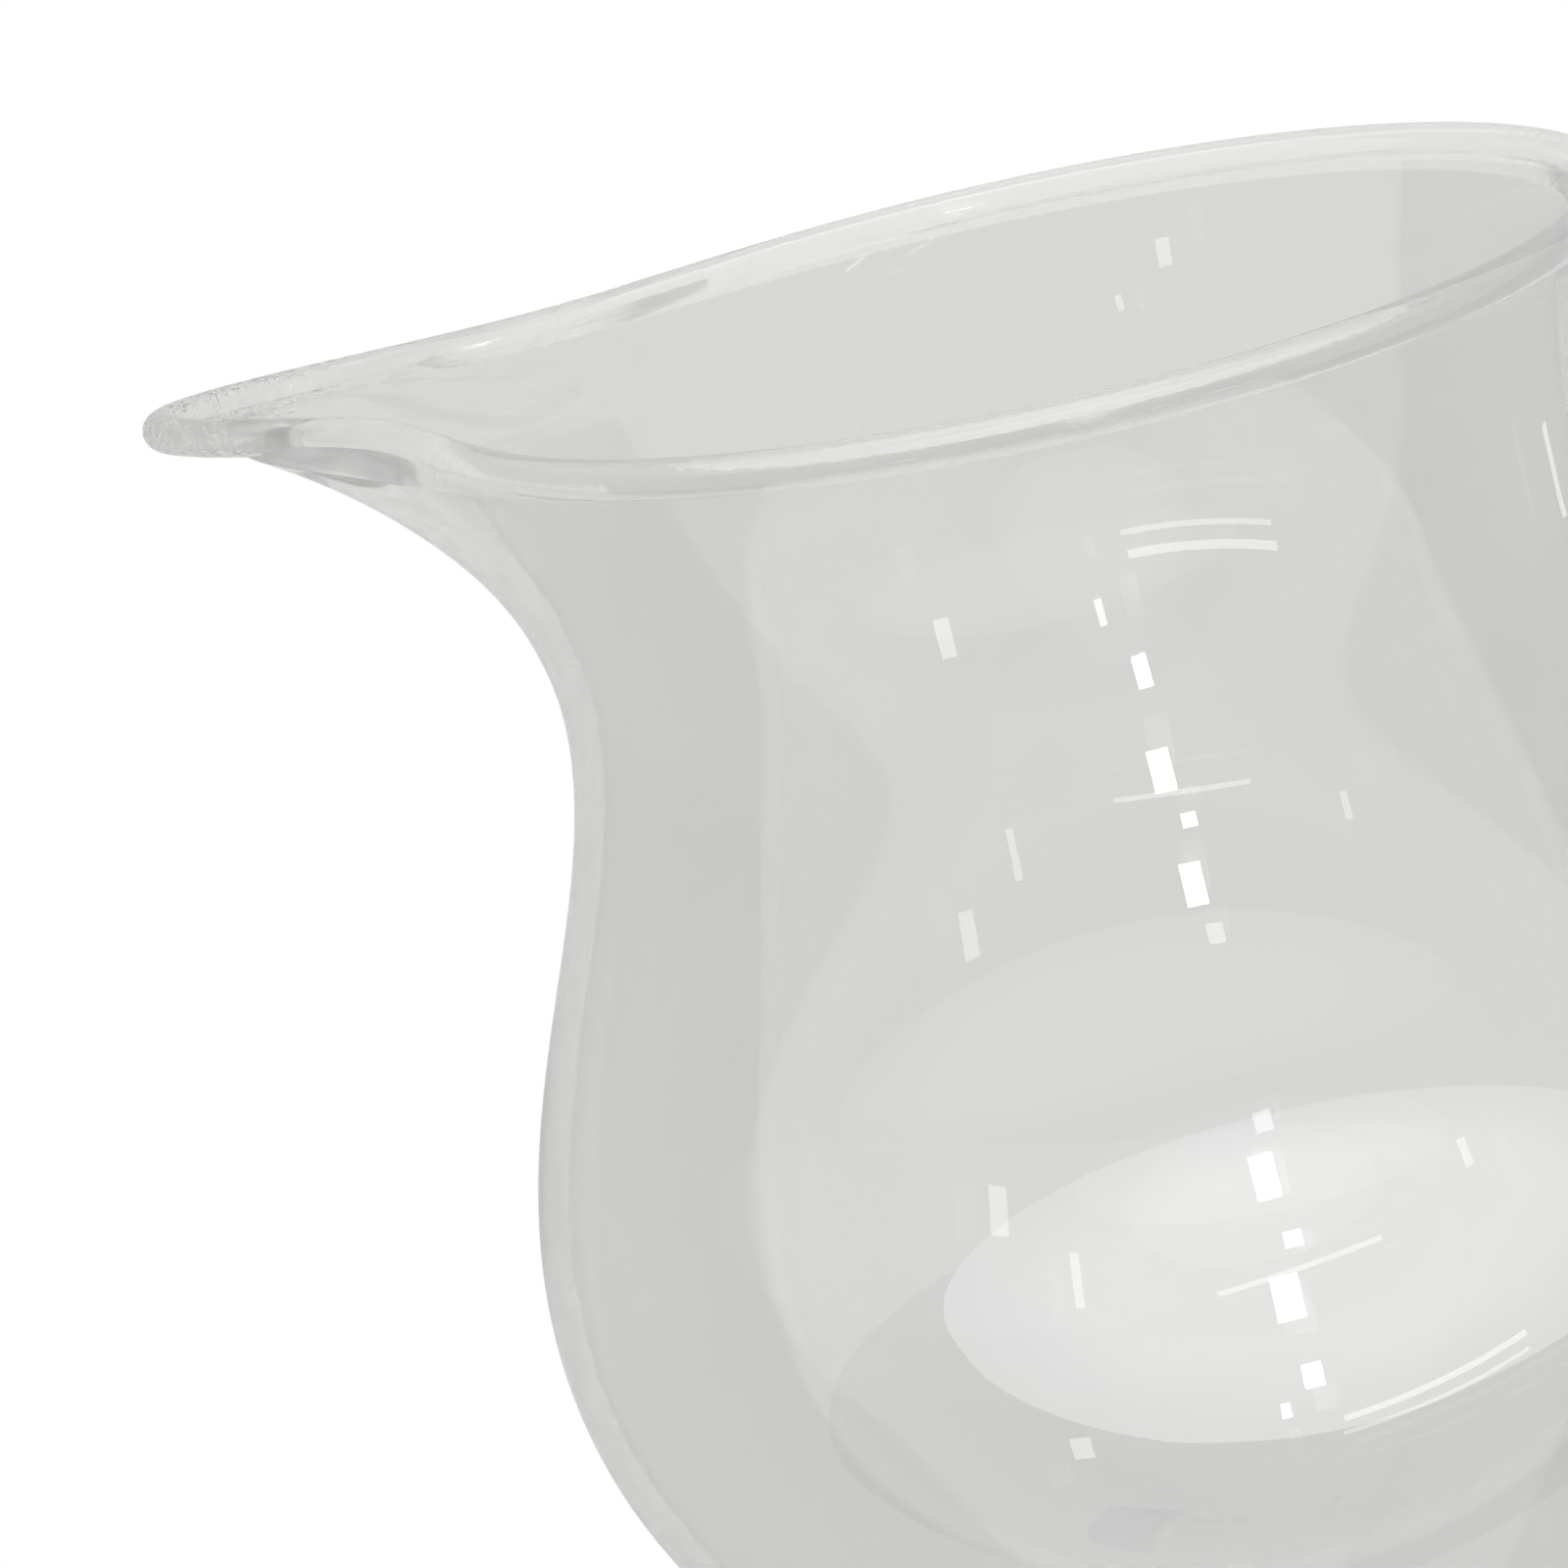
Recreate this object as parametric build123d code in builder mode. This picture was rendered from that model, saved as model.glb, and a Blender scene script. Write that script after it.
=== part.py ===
from build123d import *
from math import cos, exp, pi, radians, sin, tan
import os

# Open dropping funnel, glass, with a lipped pouring mouth and a PTFE stopcock. Millimetres, +Z up.
# The origin is the centre of the large end of the ground cone, where the funnel sits in a flask neck.
# The lip points along -X. The stopcock lies along X, with its handle at +X and its nut at -X.

# Bowl: rim, waist, belly and outlet. Depths are measured down from the top of the rim.
rim_height = 176.0
rim_radius = 35.6
rim_flare = 2.5
waist_radius = 32.0
waist_depth = 16.0
belly_radius = 42.5
belly_depth = 58.0
shoulder_radius = 30.0
outlet_slope = 45.0
outlet_fillet = 12.0
wall = 1.9
bead_radius = 1.2
bead_centre_radius = 34.8

# Lip: how far it reaches past the rim, how fast its keel climbs, and how wide it is as an angle, with
# the growth of that angle per millimetre of depth. Its corner is how sharply the keel turns level.
lip_reach = 25.0
lip_rise = 30.0
lip_fall = 5.24
lip_corner = 8
lip_width = 13.3
lip_widening = 4.6
lip_taper = 1.4
lip_floor_lift = 1.5
bead_lip_reach = 24.3

# Sections of the bowl: points round each, crowded towards the lip.
section_points = 60
section_crowding = 1.6

# Outlet tube and stopcock barrel, a 1:5 taper around a 4 mm flow bore.
outlet_radius = 6.5
barrel_height = 48.0
barrel_reach = 18.0
barrel_wall = 2.3
barrel_end_round = 0.8
plug_mid_radius = 7.25
plug_taper = 0.1
plug_recess = 0.4
flow_bore = 2.0
upper_seam = 64.0
lower_seam = 30.0

# Stem: ground cone with a 1:10 taper and 29.2 mm large end, and the drip tip inside it.
stem_radius = 6.0
stem_bore = 3.5
cone_radius = 14.6
cone_length = 32.0
cone_wall = 2.0
cone_collar = 6.0
cone_taper = 0.05
cone_shoulder = 10.0
cone_shoulder_drop = 7.0
cone_roof = 8.2
cone_roof_drop = 6.2
cone_fillet = 4.0
cone_roof_fillets = (3.0, 1.0)
drip_neck_radius = 5.5
drip_neck_end = 28.0
drip_length = 52.0
drip_radius = 5.0
drip_start = 33.0
drip_straight = 44.0
drip_tip_radius = 4.4
drip_tip_bore = 3.0
drip_cut_angle = 30.0

# Key, its running clearance in the barrel, and the parts on its threaded end.
clearance = 0.06
thread_radius = 4.8
thread_end = 35.5
thread_flat = 4.1
thread_chamfer = 0.8
running_gap = 0.08
collar_radius = 11.0
collar_start = 18.4
collar_thickness = 3.0
collar_round = 1.0
neck_radius = 6.0
neck_length = 5.0
handle_length = 44.0
handle_height = 13.0
handle_thickness = 8.0
handle_round = 5.0
handle_edge_round = 1.5
washer_radius = 8.6
washer_start = 18.3
washer_thickness = 1.6
ring_section = 1.1
ring_squeeze = 0.08
nut_radius = 9.5
nut_gap = 0.15
nut_length = 10.0
nut_ribs = 18
nut_rib_radius = 0.9
nut_flange = 1.8

os.makedirs("parts", exist_ok=True)


def neck_profile(depth):
    """Outer radius from the rim down to the belly: a slight flare, the waist, then a smooth swell."""
    if depth < waist_depth:
        flare = (waist_depth - depth) / waist_depth
        return waist_radius + (rim_radius - waist_radius) * flare**rim_flare
    share = (depth - waist_depth) / (belly_depth - waist_depth)
    return waist_radius + (belly_radius - waist_radius) * sin(pi / 2 * share) ** 2


def body_radius(depth, inset):
    """Radius of the round wall at a depth, with an inset for its inside: neck, shoulder, cone, outlet."""
    if depth <= belly_depth:
        return neck_profile(depth) - inset
    slope = radians(outlet_slope)
    shoulder = shoulder_radius - inset
    shoulder_centre = belly_radius - shoulder_radius
    cone_start = belly_depth + shoulder * sin(slope)
    if depth < cone_start:
        return shoulder_centre + (shoulder**2 - (depth - belly_depth) ** 2) ** 0.5
    tube = outlet_radius - inset
    hollow = outlet_fillet + inset
    cone_start_radius = shoulder_centre + shoulder * cos(slope)
    cone_end_radius = tube + hollow * (1 - cos(slope))
    cone_end = cone_start + (cone_start_radius - cone_end_radius) / tan(slope)
    if depth < cone_end:
        return cone_start_radius - (depth - cone_start) * tan(slope)
    below = cone_end + hollow * sin(slope) - depth
    return tube + hollow - (hollow**2 - max(below, 0) ** 2) ** 0.5


def lip_extra(depth):
    """How far the lip's keel stands out past the round part at a depth below the rim."""
    climb = lip_rise * exp(-depth / lip_fall)
    return climb / (1 + (climb / lip_reach) ** lip_corner) ** (1 / lip_corner)


def lip_share(angle, depth):
    """Share of the lip's reach at an angle in degrees from its middle."""
    width = lip_width + lip_widening * depth
    return 1 / (1 + (angle / width) ** 2) ** lip_taper


def section_angles():
    """Angles around a section, closer together near the lip, from behind it and round again."""
    steps = [2 * i / section_points - 1 for i in range(section_points)]
    return [180 * abs(step) ** section_crowding * (1 if step > 0 else -1) for step in steps]


def ring_points(radius, reach, depth):
    """Closed outline of a round wall with the lip pointing along -X."""
    points = []
    for angle in section_angles():
        distance = radius + reach * lip_share(angle, depth)
        points.append((-distance * cos(radians(angle)), distance * sin(radians(angle))))
    return points


def wall_section(depth, inset, lift):
    """Height and outline of the outer wall, or with an inset and a lift, of the inner wall."""
    return rim_height - depth, ring_points(body_radius(depth, inset), lip_extra(depth + lift), depth)


def bead_section(angle, side):
    """Height and outline of the rolled rim at an angle round its bead, outside (1) or inside (-1)."""
    centre = ring_points(bead_centre_radius, bead_lip_reach, 0)
    shift = side * bead_radius * cos(radians(angle))
    outline = []
    for index, (x, y) in enumerate(centre):
        before = centre[index - 1]
        after = centre[(index + 1) % len(centre)]
        run = (after[0] - before[0], after[1] - before[1])
        length = (run[0] ** 2 + run[1] ** 2) ** 0.5
        outline.append((x - shift * run[1] / length, y + shift * run[0] / length))
    return rim_height - bead_radius * (1 - sin(radians(angle))), outline


def stations(depths, inset, lift):
    """Sections of the wall at some depths, each a height and an outline."""
    return [wall_section(depth, inset, lift) for depth in depths]


def bead_stations(side):
    """Sections over the rolled rim, on its outside (1) or its inside (-1)."""
    return [bead_section(angle, side) for angle in bead_angles]


outlet_depths = [rim_height - upper_seam, 110, 107, 104, 101, 97, 92, 87, 82, 78, 74, 70, 66, 62, belly_depth]
neck_depths = [belly_depth, 54, 50, 46, 42, 38, 34, 30, 26, 22, 18, 15, 12.5, 10.2, 7.6, 5.4, 3.8, 2.7]
bead_angles = [0, 30, 60]

# Space inside the glass bowl, below its belly and above it, with the channel of the lip.
hollow_below = stations(outlet_depths, wall, lip_floor_lift)
hollow_above = stations(neck_depths, wall, lip_floor_lift) + bead_stations(-1)
with BuildPart() as bowl_hollow:
    for sections in (hollow_below, hollow_above):
        for height, outline in sections:
            with BuildSketch(Plane.XY.offset(height)):
                with BuildLine():
                    Spline(*outline, periodic=True)
                make_face()
        loft()

# Glass bowl: outlet, cone, belly, waist, lip and rolled rim, as one blown wall.
wall_below = stations(outlet_depths, 0, 0)
wall_above = stations(neck_depths, 0, 0) + bead_stations(1)
with BuildPart() as funnel_bowl:
    for sections in (wall_below, wall_above):
        for height, outline in sections:
            with BuildSketch(Plane.XY.offset(height)):
                with BuildLine():
                    Spline(*outline, periodic=True)
                make_face()
        loft()
    add(bowl_hollow.part, mode=Mode.SUBTRACT)
funnel_bowl.part.label = "funnel_bowl"
export_step(funnel_bowl.part, "parts/funnel_bowl.step")

# Stopcock barrel: a level tapered sleeve with an arm fused above it and one below it.
barrel_axis = Axis((0, 0, barrel_height), (1, 0, 0))
barrel_outer = plug_mid_radius + barrel_wall
taper_step = plug_taper * barrel_reach
with BuildPart() as stopcock_barrel:
    with BuildSketch(Plane.XY.offset(barrel_height)):
        Circle(outlet_radius)
    extrude(amount=upper_seam - barrel_height)
    with BuildSketch(Plane.XY.offset(lower_seam)):
        Circle(stem_radius)
    extrude(amount=barrel_height - lower_seam)
    with BuildSketch(Plane.XZ):
        with BuildLine():
            FilletPolyline(
                (-barrel_reach, barrel_height),
                (-barrel_reach, barrel_height + barrel_outer - taper_step),
                (barrel_reach, barrel_height + barrel_outer + taper_step),
                (barrel_reach, barrel_height),
                radius=barrel_end_round,
            )
            Line((barrel_reach, barrel_height), (-barrel_reach, barrel_height))
        make_face()
    revolve(axis=barrel_axis)
    with BuildSketch(Plane.XZ):
        with BuildLine():
            Polyline(
                (-barrel_reach, barrel_height),
                (-barrel_reach, barrel_height + plug_mid_radius - taper_step),
                (barrel_reach, barrel_height + plug_mid_radius + taper_step),
                (barrel_reach, barrel_height),
                close=True,
            )
        make_face()
    revolve(axis=barrel_axis, mode=Mode.SUBTRACT)
    with BuildSketch(Plane.XY.offset(barrel_height + barrel_outer)):
        Circle(outlet_radius - wall)
    extrude(amount=upper_seam - barrel_height - barrel_outer, mode=Mode.SUBTRACT)
    with BuildSketch(Plane.XY.offset(lower_seam)):
        Circle(stem_bore)
    extrude(amount=barrel_height - barrel_outer - lower_seam, mode=Mode.SUBTRACT)
    with BuildSketch(Plane.XY.offset(lower_seam)):
        Circle(flow_bore)
    extrude(amount=upper_seam - lower_seam, mode=Mode.SUBTRACT)
stopcock_barrel.part.label = "stopcock_barrel"
export_step(stopcock_barrel.part, "parts/stopcock_barrel.step")

# Drip stem: tube, ground cone round it, and the drip tip that hangs through the cone, cut on a slant.
shoulder_top = (stem_radius, cone_collar + cone_shoulder)
shoulder_edge = (cone_radius, cone_collar + cone_shoulder - cone_shoulder_drop)
roof_edge = (cone_radius - cone_wall, cone_collar + cone_roof - cone_roof_drop)
roof_top = (drip_neck_radius, cone_collar + cone_roof)
joint_end_radius = cone_radius - cone_taper * cone_length
with BuildPart() as drip_stem:
    with BuildSketch(Plane.XZ):
        with BuildLine():
            FilletPolyline(
                (stem_radius, lower_seam),
                shoulder_top,
                shoulder_edge,
                (cone_radius, 0),
                radius=cone_fillet,
            )
            Polyline(
                (cone_radius, 0),
                (joint_end_radius, -cone_length),
                (joint_end_radius - cone_wall, -cone_length),
                (cone_radius - cone_wall, 0),
            )
            FilletPolyline(
                (cone_radius - cone_wall, 0),
                roof_edge,
                roof_top,
                (drip_neck_radius, -drip_neck_end),
                radius=cone_roof_fillets,
            )
            Polyline(
                (drip_neck_radius, -drip_neck_end),
                (drip_radius, -drip_start),
                (drip_radius, -drip_straight),
                (drip_tip_radius, -drip_length),
                (drip_tip_bore, -drip_length),
                (stem_bore, -drip_straight),
                (stem_bore, lower_seam),
                (stem_radius, lower_seam),
            )
        make_face()
    revolve(axis=Axis.Z)
    cut_height = drip_tip_radius * tan(radians(drip_cut_angle)) - drip_length
    cut_tilt = radians(drip_cut_angle)
    split(bisect_by=Plane(origin=(0, 0, cut_height), z_dir=(sin(cut_tilt), 0, cos(cut_tilt))))
drip_stem.part.label = "drip_stem"
export_step(drip_stem.part, "parts/drip_stem.step")

# Key: tapered plug with the cross bore, a collar and T-handle outside the large end, a thread outside the small.
plug_radius = plug_mid_radius - clearance
plug_end = barrel_reach - plug_recess
with BuildPart() as stopcock_key:
    handle_start = collar_start + collar_thickness + neck_length / 2
    with BuildSketch(Plane.XY.offset(barrel_height - handle_thickness / 2)):
        with Locations((handle_start + handle_height / 2, 0)):
            RectangleRounded(handle_height, handle_length, handle_round)
    extrude(amount=handle_thickness)
    fillet(edges().group_by(Axis.Z)[0] + edges().group_by(Axis.Z)[-1], radius=handle_edge_round)
    with BuildSketch(Plane.XZ):
        with BuildLine():
            Polyline(
                (-thread_end, barrel_height),
                (-thread_end, barrel_height + thread_radius - thread_chamfer),
                (-thread_end + thread_chamfer, barrel_height + thread_radius),
                (-plug_end, barrel_height + thread_radius),
                (-plug_end, barrel_height + plug_radius - plug_taper * plug_end),
                (collar_start, barrel_height + plug_radius + plug_taper * collar_start),
                (collar_start, barrel_height + collar_radius),
                (collar_start + collar_thickness, barrel_height + collar_radius),
                (collar_start + collar_thickness, barrel_height + neck_radius),
                (collar_start + collar_thickness + neck_length, barrel_height + neck_radius),
                (collar_start + collar_thickness + neck_length, barrel_height),
                close=True,
            )
        make_face()
    revolve(axis=barrel_axis)
    collar_rims = edges().filter_by(GeomType.CIRCLE)
    fillet(collar_rims.filter_by(lambda rim: rim.radius > collar_radius - 0.1), radius=collar_round)
    with BuildSketch(Plane.XZ.offset(-plug_mid_radius * 2)):
        with Locations((0, barrel_height)):
            Circle(flow_bore)
    extrude(amount=plug_mid_radius * 4, mode=Mode.SUBTRACT)
    with BuildSketch(Plane.YZ.offset(-thread_end)):
        with Locations((0, barrel_height + thread_flat + thread_radius)):
            Rectangle(4 * thread_radius, 2 * thread_radius)
    extrude(amount=thread_end - plug_end, mode=Mode.SUBTRACT)
stopcock_key.part.label = "stopcock_key"
export_step(stopcock_key.part, "parts/stopcock_key.step")

# Thrust washer: its D-shaped hole fits the flat on the thread, so it turns with the key.
with BuildPart() as thrust_washer:
    with BuildSketch(Plane.YZ.offset(-washer_start - washer_thickness)):
        with Locations((0, barrel_height)):
            Circle(washer_radius)
            Circle(thread_radius + running_gap, mode=Mode.SUBTRACT)
        with Locations((0, barrel_height + thread_flat + running_gap + thread_radius / 4)):
            Rectangle(2 * thread_radius, thread_radius / 2)
    extrude(amount=washer_thickness)
thrust_washer.part.label = "thrust_washer"
export_step(thrust_washer.part, "parts/thrust_washer.step")

# Seal ring: a rubber O-ring pressed lightly on the washer.
ring_place = washer_start + washer_thickness + ring_section - ring_squeeze
with BuildPart() as seal_ring:
    with BuildSketch(Plane.XZ):
        with Locations((-ring_place, barrel_height + thread_radius + running_gap + ring_section)):
            Circle(ring_section)
    revolve(axis=barrel_axis)
seal_ring.part.label = "seal_ring"
export_step(seal_ring.part, "parts/seal_ring.step")

# Lock nut: a ribbed round nut that draws the key into its taper.
nut_start = ring_place + ring_section + nut_gap
with BuildPart() as lock_nut:
    with BuildSketch(Plane.YZ.offset(-nut_start - nut_length)):
        with Locations((0, barrel_height)):
            Circle(nut_radius)
            with PolarLocations(nut_radius, nut_ribs):
                Circle(nut_rib_radius)
    extrude(amount=nut_length)
    with BuildSketch(Plane.YZ.offset(-nut_start - nut_flange)):
        with Locations((0, barrel_height)):
            Circle(nut_radius + nut_rib_radius)
    extrude(amount=nut_flange)
    with BuildSketch(Plane.YZ.offset(-nut_start - nut_length)):
        with Locations((0, barrel_height)):
            Circle(thread_radius + running_gap)
    extrude(amount=nut_length, mode=Mode.SUBTRACT)
lock_nut.part.label = "lock_nut"
export_step(lock_nut.part, "parts/lock_nut.step")
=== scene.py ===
from math import acos, cos, exp, pi, radians, sin, sqrt, tan

import bmesh
import bpy
from mathutils import Matrix, Quaternion, Vector


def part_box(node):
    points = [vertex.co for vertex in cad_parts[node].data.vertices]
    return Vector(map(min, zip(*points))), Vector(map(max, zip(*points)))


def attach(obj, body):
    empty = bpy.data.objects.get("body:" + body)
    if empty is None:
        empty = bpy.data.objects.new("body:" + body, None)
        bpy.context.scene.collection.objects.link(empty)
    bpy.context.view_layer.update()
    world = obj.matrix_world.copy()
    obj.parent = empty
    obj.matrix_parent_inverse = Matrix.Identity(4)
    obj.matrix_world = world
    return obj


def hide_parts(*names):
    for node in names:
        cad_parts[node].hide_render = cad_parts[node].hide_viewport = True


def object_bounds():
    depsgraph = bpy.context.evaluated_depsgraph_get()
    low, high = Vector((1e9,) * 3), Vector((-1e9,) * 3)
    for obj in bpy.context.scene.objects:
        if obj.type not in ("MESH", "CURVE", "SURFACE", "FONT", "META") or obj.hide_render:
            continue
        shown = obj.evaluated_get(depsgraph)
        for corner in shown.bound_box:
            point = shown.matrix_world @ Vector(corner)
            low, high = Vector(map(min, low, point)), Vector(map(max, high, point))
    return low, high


# An open dropping funnel of clear glass: lipped bowl, PTFE stopcock, ground cone and drip tip.
# Lengths are in metres, in the CAD model's own frame: +Z up, lip along -X, handle at +X.
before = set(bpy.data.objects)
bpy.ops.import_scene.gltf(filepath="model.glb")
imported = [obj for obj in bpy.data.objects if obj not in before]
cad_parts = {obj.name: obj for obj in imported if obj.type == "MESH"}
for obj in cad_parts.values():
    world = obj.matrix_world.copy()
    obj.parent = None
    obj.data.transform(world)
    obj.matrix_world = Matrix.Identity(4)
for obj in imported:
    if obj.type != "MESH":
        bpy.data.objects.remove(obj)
cad_low, cad_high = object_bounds()

MM = 0.001
bowl_low, bowl_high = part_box("funnel_bowl")

# ---------------------------------------------------------------- the blown bowl, same shape as in CAD
rim_top = bowl_high.z
seam_height = bowl_low.z
rim_radius = 35.6 * MM
rim_flare = 2.5
waist_radius = 32.0 * MM
waist_depth = 16.0 * MM
belly_radius = 42.5 * MM
belly_depth = 58.0 * MM
shoulder_radius = 30.0 * MM
outlet_radius = 6.5 * MM
outlet_slope = radians(45)
outlet_fillet = 12.0 * MM
wall = 1.9 * MM
bead_radius = 1.2 * MM
bead_centre_radius = 34.8 * MM
lip_reach = 25.0 * MM
lip_rise = 30.0 * MM
lip_fall = 5.24 * MM
lip_corner = 8
lip_width = radians(13.3)
lip_widening = radians(4.6) / MM
lip_taper = 1.4
lip_floor_lift = 1.5 * MM
bead_lip_reach = 24.3 * MM
bead_join_outside = 2 * bead_radius
bead_join_inside = 1.6 * bead_radius
wall_start_inside = 1.9 * bead_radius
# How finely the bowl's mesh is divided, and how closely its points are packed near lip and rim.
points_round = 240
lip_packing = 1.5
wall_steps = 130
rim_packing = 1.6
bead_steps = 24


def neck_profile(depth):
    """Outer radius from the rim down to the belly: a slight flare, the waist, then a smooth swell."""
    if depth < waist_depth:
        return waist_radius + (rim_radius - waist_radius) * (1 - depth / waist_depth) ** rim_flare
    share = (depth - waist_depth) / (belly_depth - waist_depth)
    return waist_radius + (belly_radius - waist_radius) * sin(pi / 2 * share) ** 2


def body_radius(depth, inset):
    """Radius of the round wall at a depth, with an inset for its inside: neck, shoulder, cone, outlet."""
    if depth <= belly_depth:
        return neck_profile(depth) - inset
    shoulder = shoulder_radius - inset
    shoulder_centre = belly_radius - shoulder_radius
    cone_start = belly_depth + shoulder * sin(outlet_slope)
    if depth < cone_start:
        return shoulder_centre + sqrt(shoulder**2 - (depth - belly_depth) ** 2)
    tube = outlet_radius - inset
    hollow = outlet_fillet + inset
    cone_start_radius = shoulder_centre + shoulder * cos(outlet_slope)
    cone_end_radius = tube + hollow * (1 - cos(outlet_slope))
    cone_end = cone_start + (cone_start_radius - cone_end_radius) / tan(outlet_slope)
    if depth < cone_end:
        return cone_start_radius - (depth - cone_start) * tan(outlet_slope)
    below = max(cone_end + hollow * sin(outlet_slope) - depth, 0)
    return tube + hollow - sqrt(hollow**2 - below**2)


def lip_extra(depth):
    """How far the lip's keel stands out past the round part at a depth below the rim."""
    climb = lip_rise * exp(-depth / lip_fall)
    return climb / (1 + (climb / lip_reach) ** lip_corner) ** (1 / lip_corner)


def lip_share(angle, depth):
    """Share of the lip's reach at an angle from its middle."""
    return 1 / (1 + (angle / (lip_width + lip_widening * depth)) ** 2) ** lip_taper


def spaced_angles(count):
    """Angles once round the bowl, closer together near the lip."""
    steps = [2 * i / count - 1 for i in range(count)]
    return [pi * abs(step) ** lip_packing * (1 if step > 0 else -1) for step in steps]


ANGLES = spaced_angles(points_round)


def wall_ring(depth, inset, lift):
    """One level ring of the wall, outside or inside."""
    ring = []
    for angle in ANGLES:
        reach = body_radius(depth, inset) + lip_extra(depth + lift) * lip_share(angle, depth)
        ring.append(Vector((-reach * cos(angle), reach * sin(angle), rim_top - depth)))
    return ring


def bead_turn(share):
    """Angle on the bead at which the wall meets it, kept off the bead's poles."""
    return acos(max(-0.7, min(0.98, share)))


def bead_rings(steps):
    """Rings over the rolled rim, from its outside below to its inside below."""
    centre = []
    for angle in ANGLES:
        reach = bead_centre_radius + bead_lip_reach * lip_share(angle, 0)
        centre.append(Vector((-reach * cos(angle), reach * sin(angle), rim_top - bead_radius)))
    count = len(centre)
    outward = []
    for i in range(count):
        run = centre[(i + 1) % count] - centre[i - 1]
        outward.append(Vector((-run.y, run.x, 0)).normalized())
    outer = wall_ring(bead_join_outside, 0, 0)
    inner = wall_ring(bead_join_inside, wall, lip_floor_lift)
    rings = [[] for _ in range(steps)]
    for i in range(count):
        start = (outer[i] - centre[i]).dot(outward[i]) / bead_radius
        end = (inner[i] - centre[i]).dot(outward[i]) / bead_radius
        first = -bead_turn(start)
        last = pi + bead_turn(-end)
        for k in range(steps):
            turn = first + (last - first) * k / (steps - 1)
            offset = outward[i] * cos(turn) + Vector((0, 0, sin(turn)))
            rings[k].append(centre[i] + bead_radius * offset)
    return rings


def depth_steps(start, end, count, power):
    """Depths from start to end, packed towards the start."""
    return [start + (end - start) * (i / count) ** power for i in range(count + 1)]


def in_scene(name, data):
    """A new object in the scene, made of a mesh, a light or a camera."""
    obj = bpy.data.objects.new(name, data)
    bpy.context.scene.collection.objects.link(obj)
    return obj


def full_turn(count):
    """Angles once round a circle, evenly spaced."""
    return [2 * pi * i / count for i in range(count)]


def loop_mesh(name, rings, closed=True):
    """A closed mesh from rings of equal length: joined last to first if closed, or else capped."""
    mesh = bpy.data.meshes.new(name)
    count = len(rings[0])
    points = [point for ring in rings for point in ring]
    faces = []
    pairs = len(rings) if closed else len(rings) - 1
    for k in range(pairs):
        a, b = k * count, (k + 1) % len(rings) * count
        for i in range(count):
            j = (i + 1) % count
            faces.append((a + j, a + i, b + i, b + j))
    if not closed:
        faces.append(tuple(range(count)))
        faces.append(tuple(reversed(range(len(points) - count, len(points)))))
    mesh.from_pydata(points, [], faces)
    work = bmesh.new()
    work.from_mesh(mesh)
    bmesh.ops.recalc_face_normals(work, faces=work.faces)
    work.to_mesh(mesh)
    work.free()
    return in_scene(name, mesh)


def rounded(corners, steps=6):
    """Points along an outline of (along, across, radius) corners, each rounded to its radius."""
    outline = []
    for k, (along, across, radius) in enumerate(corners):
        here = Vector((along, across))
        if radius == 0:
            outline.append(here)
            continue
        back = Vector(corners[k - 1][:2]) - here
        on = Vector(corners[(k + 1) % len(corners)][:2]) - here
        half = back.angle(on) / 2
        reach = min(radius / tan(half), 0.49 * min(back.length, on.length))
        centre = here + (back.normalized() + on.normalized()).normalized() * reach / cos(half)
        start = here + back.normalized() * reach - centre
        end = here + on.normalized() * reach - centre
        sweep = start.angle(end)
        for step in range(steps + 1):
            share = step / steps
            arc = start * sin((1 - share) * sweep) + end * sin(share * sweep)
            outline.append(centre + arc / sin(sweep))
    return outline


def rounded_mm(corners):
    """Points along an outline of corners that are given in millimetres."""
    return rounded([(along * MM, across * MM, fillet * MM) for along, across, fillet in corners])


def upright_ring(radius, height):
    """A level ring round the funnel's axis, with the bowl's own spacing of points."""
    return [Vector((-radius * cos(angle), radius * sin(angle), height)) for angle in ANGLES]


def level_ring(along, radius, count=96):
    """A ring round the stopcock's axis. The radius is a number, or a function of the angle."""
    ring = []
    for angle in full_turn(count):
        size = radius(angle) if callable(radius) else radius
        ring.append(Vector((along, size * cos(angle), barrel_height + size * sin(angle))))
    return ring


def boolean(target, tool, operation):
    """Join, cut or intersect a closed mesh with another, and delete the other."""
    modifier = target.modifiers.new("boolean", "BOOLEAN")
    modifier.operation = operation
    modifier.solver = "EXACT"
    modifier.object = tool
    bpy.context.view_layer.update()
    view = bpy.context.evaluated_depsgraph_get()
    result = bpy.data.meshes.new_from_object(target.evaluated_get(view))
    target.modifiers.clear()
    target.data = result
    bpy.data.objects.remove(tool)


def smooth(obj, limit):
    """Smooth shading, with sharp edges where faces turn by more than a limit in degrees."""
    mesh = obj.data
    mesh.polygons.foreach_set("use_smooth", [True] * len(mesh.polygons))
    work = bmesh.new()
    work.from_mesh(mesh)
    for edge in work.edges:
        edge.smooth = len(edge.link_faces) == 2 and edge.calc_face_angle(0) < radians(limit)
    work.to_mesh(mesh)
    work.free()


# ---------------------------------------------------------------- stopcock barrel and stem, as in CAD
barrel_height = 48.0 * MM
barrel_reach = 18.0 * MM
barrel_outer = 9.55 * MM
plug_mid_radius = 7.25 * MM
plug_taper = 0.1
flow_bore_radius = 2.0 * MM
flow_bore_bottom = 37.5 * MM
flow_bore_top = 58.6 * MM
fused_fillet = 1.6 * MM
arm_root = 1.0 * MM
stem_radius = 6.0 * MM
cone_length = 32.0 * MM
drip_straight = 44.0 * MM
drip_length = 52.0 * MM
drip_tip_radius = 4.4 * MM
drip_cut_angle = radians(30)


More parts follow.
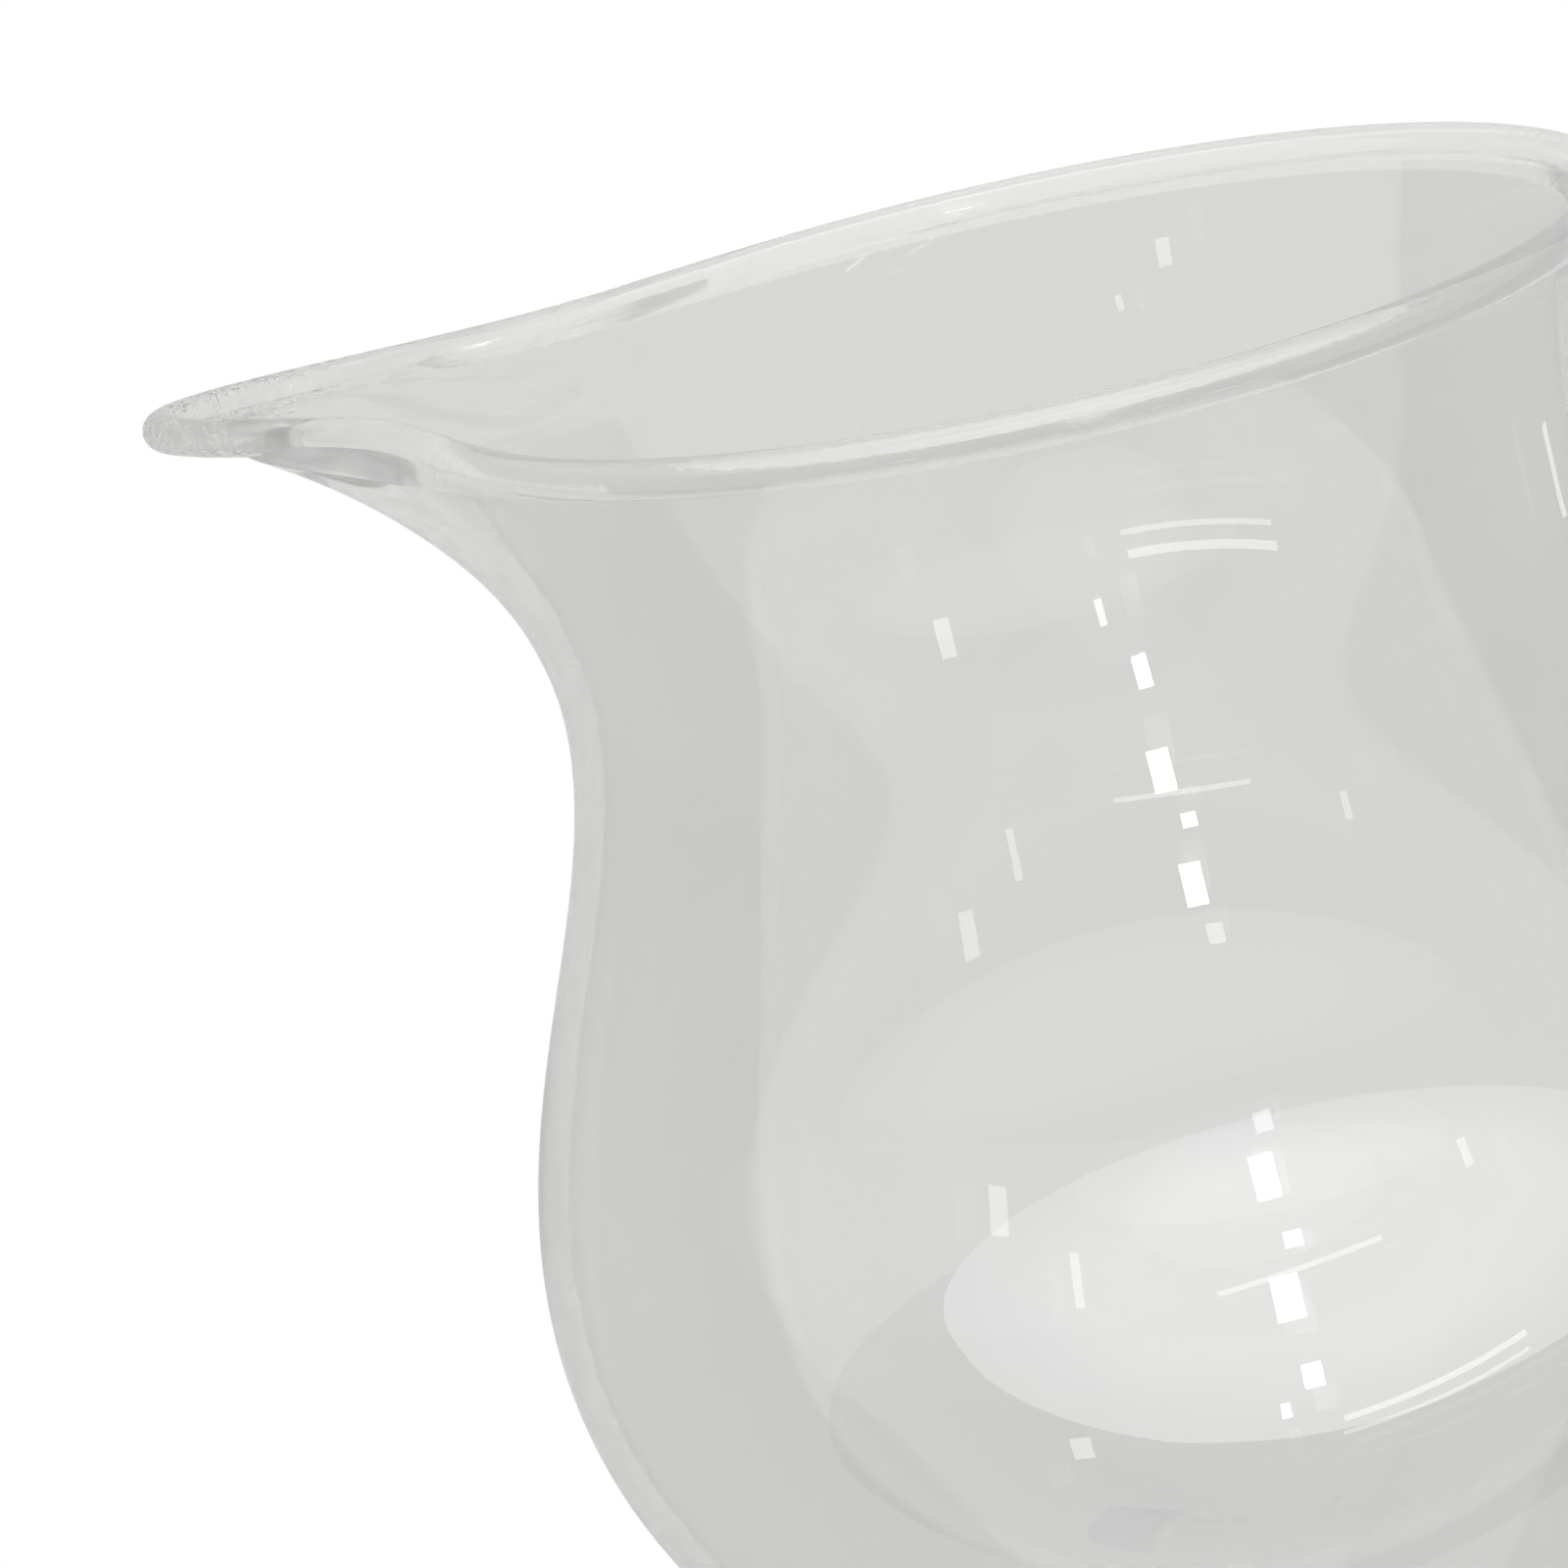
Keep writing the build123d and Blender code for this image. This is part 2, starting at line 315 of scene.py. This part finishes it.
def saddle(point):
    """Height of the barrel's skin over its axis, straight above or below a point."""
    return sqrt((barrel_outer + plug_taper * point.x) ** 2 - point.y**2)


def arm_rings(radius, side, steps=8):
    """Rings of an arm's foot on the barrel, out of its wall and over the fused fillet; side -1 is below."""
    rings = []
    for k in range(-1, steps + 1):
        turn = pi / 2 * max(k, 0) / steps
        lift = fused_fillet * (1 - cos(turn)) if k >= 0 else -arm_root
        ring = upright_ring(radius + fused_fillet * (1 - sin(turn)), 0)
        for point in ring:
            point.z = barrel_height + side * (saddle(point) + lift)
        rings.append(ring)
    return rings


def vessel_rings():
    """The whole bowl: up its outside from the barrel, over the bead, and down its inside to the bore."""
    end = rim_top - seam_height
    barrel_top = barrel_height + barrel_outer
    outer = depth_steps(bead_join_outside, end, wall_steps, rim_packing)
    inner = depth_steps(wall_start_inside, end, wall_steps, rim_packing)
    bottom = [
        (outlet_radius - wall, barrel_top + 3 * MM, 0),
        (outlet_radius - wall, barrel_top + 0.6 * MM, 1.5 * MM),
        (flow_bore_radius / 2, barrel_top - 0.4 * MM, 0),
        (flow_bore_radius / 2, barrel_height, 0),
    ]
    rings = arm_rings(outlet_radius, 1)
    rings += [wall_ring(depth, 0, 0) for depth in reversed(outer)]
    rings += bead_rings(bead_steps)
    rings += [wall_ring(depth, wall, lip_floor_lift) for depth in inner]
    rings += [upright_ring(point.x, point.y) for point in rounded(bottom)]
    return rings


def stem_rings():
    """Stem, ground cone and drip tip: down the outside, round the hollow of the cone, and up the bore."""
    # Radius, height and fillet of each corner, in millimetres.
    corners = [
        (6.0, 35.5, 0),
        (6.0, 16.0, 4),
        (14.6, 9.0, 4),
        (14.6, 0.0, 0),
        (13.0, -32.0, 0.6),
        (11.0, -32.0, 0.6),
        (12.6, 0.0, 0),
        (12.6, 8.0, 3),
        (5.5, 14.2, 1.5),
        (5.5, -28.0, 3),
        (5.0, -33.0, 3),
        (5.0, -44.0, 0),
        (4.4, -52.0, 0.4),
        (3.0, -52.0, 0.4),
        (3.5, -44.0, 0),
        (3.5, 38.2, 1.2),
        (1.0, 39.4, 0),
        (1.0, 48.0, 0),
    ]
    rings = arm_rings(stem_radius, -1)
    cut_centre = drip_tip_radius * tan(drip_cut_angle) - drip_length
    for point in rounded_mm(corners):
        ring = upright_ring(point.x, point.y)
        share = (-drip_straight - point.y) / (drip_length - drip_straight)
        for spot in ring if share > 0 else ():
            cut = cut_centre - tan(drip_cut_angle) * spot.x
            spot.z = -drip_straight + share * (cut + drip_straight)
        rings.append(ring)
    return rings


def turned(name, corners, count=96):
    """A solid turned round the stopcock's axis, from (along, radius, fillet) corners in millimetres."""
    rings = [level_ring(point.x, point.y, count) for point in rounded_mm(corners)]
    return loop_mesh(name, rings, closed=False)


def blown_glass():
    """The funnel's glass, fused into one piece: bowl, stopcock barrel, stem, ground cone and drip tip."""
    glass = loop_mesh("blown_glass", vessel_rings())
    barrel = turned("barrel", [(-18, 0.5, 0), (-18, 7.75, 0.8), (18, 11.35, 0.8), (18, 0.5, 0)])
    boolean(glass, barrel, "UNION")
    boolean(glass, loop_mesh("stem", stem_rings()), "UNION")
    boolean(glass, turned("taper", [(-19, 5.35, 0), (19, 9.15, 0)]), "DIFFERENCE")
    bore = loop_mesh("bore", [bore_ring(flow_bore_bottom), bore_ring(flow_bore_top)], closed=False)
    boolean(glass, bore, "DIFFERENCE")
    return glass


def bore_ring(height, count=48):
    """A ring of the flow bore at a height."""
    spokes = [(flow_bore_radius * cos(turn), flow_bore_radius * sin(turn)) for turn in full_turn(count)]
    return [Vector((*spoke, height)) for spoke in spokes]


# ---------------------------------------------------------------- key and nut, with their real thread
thread_radius = 4.8 * MM
thread_depth = 0.75 * MM
thread_pitch = 2.0 * MM
thread_end = 35.5 * MM
thread_flat = 4.1 * MM
thread_chamfer = 0.8 * MM
thread_gap = 0.1 * MM
thread_steps = 175
cross_bore_reach = 12 * MM
# The T-handle, in millimetres: its middle along the axis, half its length, half its width, how much
# slimmer it is in the middle, and half its thickness.
handle_place = 30.4
handle_reach = 22.0
handle_width = 6.5
handle_slimming = 0.9
handle_thickness = 4.0
# The nut: number and height of its ribs, and the depth of the plain mouths at the thread's two ends.
nut_ribs = 18
rib_height = 1.25
nut_thread_steps = 84
nut_mouth = 0.7 * MM


def thread_at(along, extra):
    """Radius of the round right-hand thread as a function of the angle, at a place along the axis."""

    def radius(angle):
        wave = 0.5 - 0.5 * cos(2 * pi * along / thread_pitch - angle)
        return thread_radius - thread_depth * wave + extra

    return radius


def key_rings():
    """Threaded end, tapered plug, collar and neck of the key."""
    rings = []
    for k in range(thread_steps + 1):
        along = -thread_end + (thread_end - barrel_reach) * k / thread_steps
        end_limit = thread_radius - thread_chamfer + (along + thread_end)
        thread = thread_at(along, 0)
        rings.append(level_ring(along, lambda angle: min(thread(angle), end_limit)))
    for ring in rings:
        for point in ring:
            point.z = min(point.z, barrel_height + thread_flat)
    # Place along the axis, radius and fillet of each corner, in millimetres.
    corners = [
        (-17.6, 4.7, 0),
        (-17.6, 5.43, 0.3),
        (18.4, 9.03, 0),
        (18.4, 11.0, 0.5),
        (21.4, 11.0, 1.0),
        (21.4, 6.0, 1.2),
        (27.5, 6.0, 0),
    ]
    return rings + [level_ring(point.x, point.y) for point in rounded_mm(corners)]


def squared(value):
    """A sine or cosine made fuller, so that a round section turns into a rounded square."""
    return abs(value) ** 0.7 * (1 if value > 0 else -1)


def handle_rings(steps=56, count=64):
    """The T-handle, a rounded bar across the axis, a little slimmer where the fingers hold it."""
    centre = handle_place * MM
    rings = []
    for k in range(steps + 1):
        share = sin(pi / 2 * (2 * k / steps - 1)) * 0.999
        taper = (1 - abs(share) ** 5) ** (1 / 2.4)
        wide = (handle_width - handle_slimming * cos(pi / 2 * share) ** 2) * MM * taper
        thick = handle_thickness * MM * taper**0.8
        across = handle_reach * MM * share
        ring = []
        for turn in full_turn(count):
            along, height = centre + wide * squared(cos(turn)), barrel_height + thick * squared(sin(turn))
            ring.append(Vector((along, across, height)))
        rings.append(ring)
    return rings


def turned_key():
    """The key in one piece: threaded end, plug, collar and T-handle, with its cross bore."""
    key = loop_mesh("turned_key", key_rings(), closed=False)
    boolean(key, loop_mesh("handle", handle_rings(), closed=False), "UNION")
    spokes = [(flow_bore_radius * cos(turn), flow_bore_radius * sin(turn)) for turn in full_turn(48)]
    ends = []
    for across in (-cross_bore_reach, cross_bore_reach):
        ends.append([Vector((along, across, barrel_height + rise)) for along, rise in spokes])
    boolean(key, loop_mesh("cross_bore", ends, closed=False), "DIFFERENCE")
    return key


def ribbed(radius, height):
    """Radius of the nut as a function of the angle, with ribs on it; both sizes in millimetres."""
    return lambda angle: (radius + height * (0.5 + 0.5 * cos(nut_ribs * angle)) ** 0.7) * MM


def moulded_nut():
    """A ribbed nut with a flange towards the washer, a rounded outer end and an internal thread."""
    near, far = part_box("lock_nut")[1].x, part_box("lock_nut")[0].x
    count = nut_ribs * 10
    # Distance from the near face and radius in millimetres, and the share of the ribs' height.
    outside = [
        (0.0, 9.7, 0.0),
        (0.15, 10.2, 0.0),
        (0.4, 10.38, 0.0),
        (1.5, 10.38, 0.0),
        (1.75, 10.2, 0.0),
        (1.95, 9.6, 0.4),
        (2.2, 9.15, 1.0),
        (8.6, 9.1, 1.0),
        (9.1, 8.95, 0.95),
        (9.5, 8.6, 0.7),
        (9.8, 8.1, 0.3),
        (10.0, 7.4, 0.0),
        (10.0, 6.6, 0.0),
        (9.7, 6.2, 0.0),
        (9.6, 5.6, 0.0),
    ]
    rings = []
    for back, radius, rib in outside:
        rings.append(level_ring(near - back * MM, ribbed(radius, rib_height * rib), count))
    for k in range(nut_thread_steps + 1):
        along = far + nut_mouth + (near - far - 2 * nut_mouth) * k / nut_thread_steps
        rings.append(level_ring(along, thread_at(along, thread_gap), count))
    for back, radius in ((0.3, 5.4), (0.0, 5.8)):
        rings.append(level_ring(near - back * MM, radius * MM, count))
    return loop_mesh("moulded_nut", rings)


# ---------------------------------------------------------------- materials
GLASS_IOR = 1.474
CLEAR, GROUND, RIM = range(3)


def new_material(name):
    """An empty node material: its node tree and its output node."""
    material = bpy.data.materials.new(name)
    material.use_nodes = True
    tree = material.node_tree
    tree.nodes.clear()
    return material, tree, tree.nodes.new("ShaderNodeOutputMaterial")


def principled(tree, **settings):
    """A Principled shader with its sockets set by name, with _ for a space."""
    shader = tree.nodes.new("ShaderNodeBsdfPrincipled")
    for key, value in settings.items():
        shader.inputs[key.replace("_", " ")].default_value = value
    return shader


def noise(tree, scale, detail=3.0, stretch=(1, 1, 1)):
    """Noise in the object's own coordinates, in cycles per metre."""
    place = tree.nodes.new("ShaderNodeTexCoord")
    mapping = tree.nodes.new("ShaderNodeMapping")
    mapping.inputs["Scale"].default_value = stretch
    texture = tree.nodes.new("ShaderNodeTexNoise")
    texture.inputs["Scale"].default_value = scale
    texture.inputs["Detail"].default_value = detail
    tree.links.new(place.outputs["Object"], mapping.inputs["Vector"])
    tree.links.new(mapping.outputs[0], texture.inputs["Vector"])
    return texture


def ramp(tree, source, *stops):
    """A colour ramp over a texture, from (position, colour) stops."""
    node = tree.nodes.new("ShaderNodeValToRGB")
    for index, (position, colour) in enumerate(stops):
        stop = node.color_ramp.elements[index] if index < 2 else node.color_ramp.elements.new(position)
        stop.position = position
        stop.color = (*colour, 1)
    tree.links.new(source.outputs[0], node.inputs[0])
    return node


def bump(tree, shader, source, strength, distance):
    """Relief on a shader from a texture, in metres."""
    node = tree.nodes.new("ShaderNodeBump")
    node.inputs["Strength"].default_value = strength
    node.inputs["Distance"].default_value = distance
    tree.links.new(source.outputs[0], node.inputs["Height"])
    tree.links.new(node.outputs[0], shader.inputs["Normal"])
    return node


def let_lamps_through(tree, shader, output, colour):
    """Glass that lamp rays pass straight through, so that it throws a light shadow."""
    path = tree.nodes.new("ShaderNodeLightPath")
    clear = tree.nodes.new("ShaderNodeBsdfTransparent")
    clear.inputs["Color"].default_value = colour
    mix = tree.nodes.new("ShaderNodeMixShader")
    tree.links.new(path.outputs["Is Shadow Ray"], mix.inputs[0])
    tree.links.new(shader.outputs[0], mix.inputs[1])
    tree.links.new(clear.outputs[0], mix.inputs[2])
    tree.links.new(mix.outputs[0], output.inputs["Surface"])


def clear_glass():
    """Blown borosilicate glass: a faint tint that drifts from green to violet, and a slow unevenness."""
    material, tree, output = new_material("clear_glass")
    shader = principled(
        tree,
        Roughness=0.0,
        Alpha=0.86,
        IOR=GLASS_IOR,
        Transmission_Weight=1.0,
    )
    tint = ramp(tree, noise(tree, 60, 4), (0.38, (0.99, 0.992, 0.975)), (0.62, (0.992, 0.986, 0.99)))
    tree.links.new(tint.outputs[0], shader.inputs["Base Color"])
    bump(tree, shader, noise(tree, 55, 1.5, (1, 1, 0.5)), 0.06, 0.0004)
    let_lamps_through(tree, shader, output, (0.9, 0.92, 0.9, 1))
    return material


def along_lip(tree, start, end, at_start, at_end):
    """A value that changes along the lip, between two places on the X axis."""
    place = tree.nodes.new("ShaderNodeTexCoord")
    parts = tree.nodes.new("ShaderNodeSeparateXYZ")
    value = tree.nodes.new("ShaderNodeMapRange")
    value.inputs["From Min"].default_value = start
    value.inputs["From Max"].default_value = end
    value.inputs["To Min"].default_value = at_start
    value.inputs["To Max"].default_value = at_end
    tree.links.new(place.outputs["Object"], parts.inputs[0])
    tree.links.new(parts.outputs["X"], value.inputs["Value"])
    return value.outputs[0]


def rim_glass_with_painted_highlight():
    """The fire-polished rim, painted paler than the wall: its white share stands in for the bright line of
    the rim's highlight. It is clearer along the lip, where this painted highlight fades, and seedy at the
    lip's tip.
    """
    material, tree, output = new_material("rim_glass_with_painted_highlight")
    shader = principled(tree, Base_Color=(0.97, 0.972, 0.965, 1), Alpha=0.8, IOR=GLASS_IOR)
    # Less clear round the rim than along the lip, so that the white share paints the highlight along the
    # rim.
    clearness = along_lip(tree, -46 * MM, -30 * MM, 0.96, 0.7)
    tree.links.new(clearness, shader.inputs["Transmission Weight"])
    gloss = ramp(tree, noise(tree, 90, 2), (0.3, (0.03,) * 3), (0.7, (0.16,) * 3))
    tree.links.new(gloss.outputs[0], shader.inputs["Roughness"])
    seeds = bump(tree, shader, noise(tree, 1000, 2), 0.1, 0.0008)
    tree.links.new(along_lip(tree, -56 * MM, -49 * MM, 1, 0.04), seeds.inputs["Strength"])
    let_lamps_through(tree, shader, output, (0.9, 0.91, 0.9, 1))
    return material


def ground_glass():
    """The frosted grind of the cone and of the barrel's taper: fine grit, a little uneven."""
    material, tree, output = new_material("ground_glass")
    shader = principled(
        tree,
        Base_Color=(0.93, 0.94, 0.93, 1),
        Roughness=0.5,
        IOR=GLASS_IOR,
        Transmission_Weight=0.85,
    )
    patches = noise(tree, 260, 4, (1, 1, 0.6))
    tone = ramp(tree, patches, (0.3, (0.86, 0.87, 0.86)), (0.7, (0.96, 0.965, 0.96)))
    tree.links.new(tone.outputs[0], shader.inputs["Base Color"])
    rough = ramp(tree, patches, (0.3, (0.42,) * 3), (0.7, (0.6,) * 3))
    tree.links.new(rough.outputs[0], shader.inputs["Roughness"])
    bump(tree, shader, noise(tree, 4200, 2), 0.5, 0.00003)
    let_lamps_through(tree, shader, output, (0.7, 0.72, 0.7, 1))
    return material


def ptfe():
    """Machined PTFE: waxy, faintly translucent white with fine turning marks round the axis."""
    material, tree, output = new_material("ptfe")
    shader = principled(
        tree,
        Roughness=0.42,
        IOR=1.35,
        Subsurface_Weight=0.25,
        Subsurface_Radius=(0.6, 0.6, 0.55),
        Subsurface_Scale=0.002,
    )
    cloud = noise(tree, 120, 4)
    tone = ramp(tree, cloud, (0.3, (0.84, 0.84, 0.82)), (0.7, (0.91, 0.91, 0.895)))
    tree.links.new(tone.outputs[0], shader.inputs["Base Color"])
    rough = ramp(tree, noise(tree, 300, 3), (0.35, (0.36,) * 3), (0.7, (0.5,) * 3))
    tree.links.new(rough.outputs[0], shader.inputs["Roughness"])
    bump(tree, shader, noise(tree, 1500, 2, (3, 0.05, 0.05)), 0.25, 0.00004)
    tree.links.new(shader.outputs[0], output.inputs["Surface"])
    return material


def seal_rubber():
    """Black seal rubber: matt, with a fine grain and a dusty bloom."""
    material, tree, output = new_material("seal_rubber")
    shader = principled(tree, Roughness=0.7, IOR=1.5)
    tone = ramp(tree, noise(tree, 700, 4), (0.35, (0.018,) * 3), (0.75, (0.045, 0.045, 0.043)))
    tree.links.new(tone.outputs[0], shader.inputs["Base Color"])
    bump(tree, shader, noise(tree, 3000, 3), 0.4, 0.00004)
    tree.links.new(shader.outputs[0], output.inputs["Surface"])
    return material


def nut_plastic():
    """Moulded blue plastic: satin, slightly mottled, with the fine grain of its mould."""
    material, tree, output = new_material("nut_plastic")
    shader = principled(tree, Roughness=0.38, IOR=1.5, Coat_Weight=0.08)
    tone = ramp(tree, noise(tree, 180, 4), (0.3, (0.03, 0.11, 0.31)), (0.7, (0.045, 0.15, 0.38)))
    tree.links.new(tone.outputs[0], shader.inputs["Base Color"])
    rough = ramp(tree, noise(tree, 500, 3), (0.35, (0.32,) * 3), (0.7, (0.46,) * 3))
    tree.links.new(rough.outputs[0], shader.inputs["Roughness"])
    bump(tree, shader, noise(tree, 2600, 2), 0.3, 0.00003)
    tree.links.new(shader.outputs[0], output.inputs["Surface"])
    return material


# Where the ground finish goes: off the cone's end, on its outside only, and on the barrel's taper.
cone_end_band = 0.5 * MM
cone_outside_from = 12.8 * MM
taper_band = 0.12 * MM


def dress_glass(glass):
    """Finishes of the glass: clear, ground on the cone's outside and in the barrel's taper, and the rim
    with its painted highlight.
    """
    glass.data.materials.clear()
    glass.data.materials.append(clear_glass())
    glass.data.materials.append(ground_glass())
    glass.data.materials.append(rim_glass_with_painted_highlight())
    for face in glass.data.polygons:
        place = face.center
        from_axis = Vector((place.x, place.y)).length
        on_cone = -cone_length + cone_end_band < place.z < 0 and from_axis > cone_outside_from
        seat = plug_mid_radius + plug_taper * place.x
        off_axis = Vector((place.y, place.z - barrel_height)).length
        in_taper = abs(place.x) < barrel_reach and abs(off_axis - seat) < taper_band
        face.material_index = GROUND if on_cone or in_taper else CLEAR
        # The rim's faces get the rim glass, painted paler as the rim's highlight.
        if place.z > rim_top - 2 * bead_radius:
            face.material_index = RIM


# ---------------------------------------------------------------- the pieces
glass = blown_glass()
smooth(glass, 40)
dress_glass(glass)
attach(glass, "glass")
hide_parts("funnel_bowl", "stopcock_barrel", "drip_stem")

PTFE = ptfe()
key = turned_key()
smooth(key, 35)
key.data.materials.clear()
key.data.materials.append(PTFE)
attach(key, "key")
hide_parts("stopcock_key")

nut = moulded_nut()
smooth(nut, 40)
nut.data.materials.append(nut_plastic())
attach(nut, "nut")
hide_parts("lock_nut")

for node, material in (("thrust_washer", PTFE), ("seal_ring", seal_rubber())):
    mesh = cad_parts[node].data
    mesh.materials.clear()
    mesh.materials.append(material)

# ---------------------------------------------------------------- camera, floor, light
sensor_width = 36
lens = 124.92
eye_distance = 0.3209
eye_above_rim = 0.06383
yaw, pitch, roll = radians(-3.70), radians(-15.65), radians(-13.18)
turn_to_lip = radians(20.17)
rim_plane = rim_top - bead_radius
WHITE = (1, 1, 1)
room_grey = (0.66, 0.66, 0.652)
floor_grey = (0.683, 0.683, 0.672)
floor_size = 8
floor_height = cad_low.z - 1 * MM


def make_camera():
    """The camera, placed from the rim's centre: the lip points to its left and a little towards it."""
    data = bpy.data.cameras.new("camera")
    camera = in_scene("camera", data)
    forward = Vector((sin(yaw) * cos(pitch), cos(yaw) * cos(pitch), sin(pitch)))
    right = Vector((cos(yaw), -sin(yaw), 0))
    up = right.cross(forward)
    rolled_right = right * cos(roll) + up * sin(roll)
    rolled_up = up * cos(roll) - right * sin(roll)
    axes = Matrix((rolled_right, rolled_up, -forward)).transposed().to_4x4()
    place = Matrix.Translation((0, -eye_distance, eye_above_rim)) @ axes
    camera.matrix_world = (
        Matrix.Translation((0, 0, rim_plane)) @ Matrix.Rotation(turn_to_lip, 4, "Z") @ place
    )
    data.sensor_width = sensor_width
    data.lens = lens
    data.clip_start, data.clip_end = 0.01, 100
    bpy.context.scene.camera = camera


def seen_or_lit(tree, seen, lit):
    """One shader for camera rays and another for all other rays."""
    path = tree.nodes.new("ShaderNodeLightPath")
    mix = tree.nodes.new("ShaderNodeMixShader")
    tree.links.new(path.outputs["Is Camera Ray"], mix.inputs[0])
    tree.links.new(lit.outputs[0], mix.inputs[1])
    tree.links.new(seen.outputs[0], mix.inputs[2])
    return mix


def even(tree, kind, colour):
    """A background or an emission of one even colour."""
    shader = tree.nodes.new(kind)
    shader.inputs["Color"].default_value = (*colour, 1)
    return shader


def surroundings(grey):
    """White behind the object, and an even grey room for everything that the glass bends or mirrors."""
    world = bpy.data.worlds.new("studio")
    bpy.context.scene.world = world
    world.use_nodes = True
    tree = world.node_tree
    tree.nodes.clear()
    output = tree.nodes.new("ShaderNodeOutputWorld")
    seen = even(tree, "ShaderNodeBackground", WHITE)
    around = even(tree, "ShaderNodeBackground", grey)
    tree.links.new(seen_or_lit(tree, seen, around).outputs[0], output.inputs["Surface"])


def card(name, centre, across, tall, facing, material):
    """A flat card of the studio, facing a point."""
    mesh = bpy.data.meshes.new(name)
    half, high = across / 2, tall / 2
    corners = [(-half, -high, 0), (half, -high, 0), (half, high, 0), (-half, high, 0)]
    mesh.from_pydata(corners, [], [(0, 1, 2, 3)])
    obj = in_scene(name, mesh)
    obj.location = centre
    turn = (Vector(facing) - Vector(centre)).to_track_quat("Z", "Y")
    obj.rotation_euler = turn.to_euler()
    mesh.materials.append(material)
    return obj


def floor_material(grey):
    """A floor that is seen as white, and that lights the object with an even grey."""
    material, tree, output = new_material("floor")
    seen = even(tree, "ShaderNodeEmission", WHITE)
    lit = even(tree, "ShaderNodeEmission", grey)
    tree.links.new(seen_or_lit(tree, seen, lit).outputs[0], output.inputs["Surface"])
    return material


def glowing(name, middle, edge, radius):
    """A glow for cards that only the glass shows: its grey changes from the card's middle to its edge."""
    material, tree, output = new_material(name)
    shader = tree.nodes.new("ShaderNodeEmission")
    place = tree.nodes.new("ShaderNodeTexCoord")
    away = tree.nodes.new("ShaderNodeVectorMath")
    away.operation = "LENGTH"
    grey = tree.nodes.new("ShaderNodeMapRange")
    grey.interpolation_type = "SMOOTHSTEP"
    grey.inputs["From Min"].default_value = 0.5 * radius
    grey.inputs["From Max"].default_value = radius
    grey.inputs["To Min"].default_value = middle
    grey.inputs["To Max"].default_value = edge
    tree.links.new(place.outputs["Object"], away.inputs[0])
    tree.links.new(away.outputs["Value"], grey.inputs["Value"])
    tree.links.new(grey.outputs[0], shader.inputs["Color"])
    tree.links.new(shader.outputs[0], output.inputs["Surface"])
    return material


def floor_disc(name, across, along, lift, radius, middle, edge):
    """A round patch of light or shade on the floor behind the bowl, seen only through its glass."""
    edge_points = [(radius * cos(turn), radius * sin(turn), 0) for turn in full_turn(96)]
    mesh = bpy.data.meshes.new(name)
    mesh.from_pydata(edge_points, [], [tuple(range(len(edge_points)))])
    obj = in_scene(name, mesh)
    obj.location = (across, along, floor_height + lift)
    mesh.materials.append(glowing(name, middle, edge, radius))
    obj.visible_camera = False
    obj.visible_diffuse = False
    obj.visible_glossy = False
    obj.visible_shadow = False


focus = Vector((0, 0, rim_top - 40 * MM))
camera_azimuth = radians(-90) + turn_to_lip


def around_bowl(azimuth, elevation, distance):
    """A point round the bowl: degrees to the right of the camera and above the level, and metres."""
    turn, rise = camera_azimuth + radians(azimuth), radians(elevation)
    return focus + distance * Vector((cos(turn) * cos(rise), sin(turn) * cos(rise), sin(rise)))


def window(name, azimuth, elevation, wide, tall, brightness, distance=2.0, tilt=0):
    """A soft light that shows in the glass as a highlight: wide, tall and tilted in degrees."""
    data = bpy.data.lights.new(name, "AREA")
    data.shape = "RECTANGLE"
    data.size = 2 * distance * tan(radians(wide) / 2)
    data.size_y = 2 * distance * tan(radians(tall) / 2)
    data.energy = brightness * pi * data.size * data.size_y
    obj = in_scene(name, data)
    obj.location = around_bowl(azimuth, elevation, distance)
    facing = (obj.location - focus).to_track_quat("Z", "Y") @ Quaternion((0, 0, 1), radians(tilt))
    obj.rotation_euler = facing.to_euler()
    obj.visible_camera = False
    obj.visible_transmission = False
    return obj


make_camera()
bpy.context.scene.view_settings.view_transform = "Standard"
surroundings(room_grey)
card("floor", (0, 0, floor_height), floor_size, floor_size, (0, 0, 1), floor_material(floor_grey))
# A small grey card over the mouth, between the main windows and the far wall of the neck: it glows the
# room's grey and hides the windows' reflection in the far wall, a painted shade there.
mouth_glow = glowing("mouth_card", 0.66, 0.66, 0.03)
mouth_card = card("mouth_card", around_bowl(9, 41, 0.1), 0.05, 0.03, around_bowl(9, 20, 2), mouth_glow)
mouth_card.visible_camera = False

# Windows down one side of the camera, and weaker ones round about: the highlights on the bowl's front.
window("window_top", 10, 20, 3, 1.2, 5)
window("window_high", 8, 16, 4, 4, 22)
window("window_small", 10, 9, 3, 2, 14)
window("window_middle", 7, 1, 4.5, 7, 22)
window("window_low", 8, -13.5, 3, 4.5, 16, 0.52)
window("strip_level", 10, 5, 27, 0.8, 4, 2.0, 4)
window("glint_low", 3, -19, 1.5, 3, 9, 0.40)
window("strip_low", 26, -21, 28, 1.2, 5, 0.31, 11)
window("strip_lower", 26, -24, 28, 0.8, 4, 0.31, 11)
window("side_low", -28, -20, 3, 4, 5, 0.35)
window("side_high", -37, 15, 3, 4, 4)
window("side_strip", -25, 8, 1.5, 7, 4)
window("far_side", 119, -12, 2, 4, 2, 0.41)
window("near_side", 41, 11, 1.5, 3, 4)
overhead = window("overhead", -60, 70, 50, 50, 1.3)
overhead.visible_glossy = False
# A bright round patch and its shaded surround, low behind the bowl.
floor_disc("floor_shade", -0.110, 0.343, 0.2 * MM, 0.088, 0.56, 0.61)
floor_disc("floor_light", -0.123, 0.384, 0.4 * MM, 0.066, 0.92, 0.8)
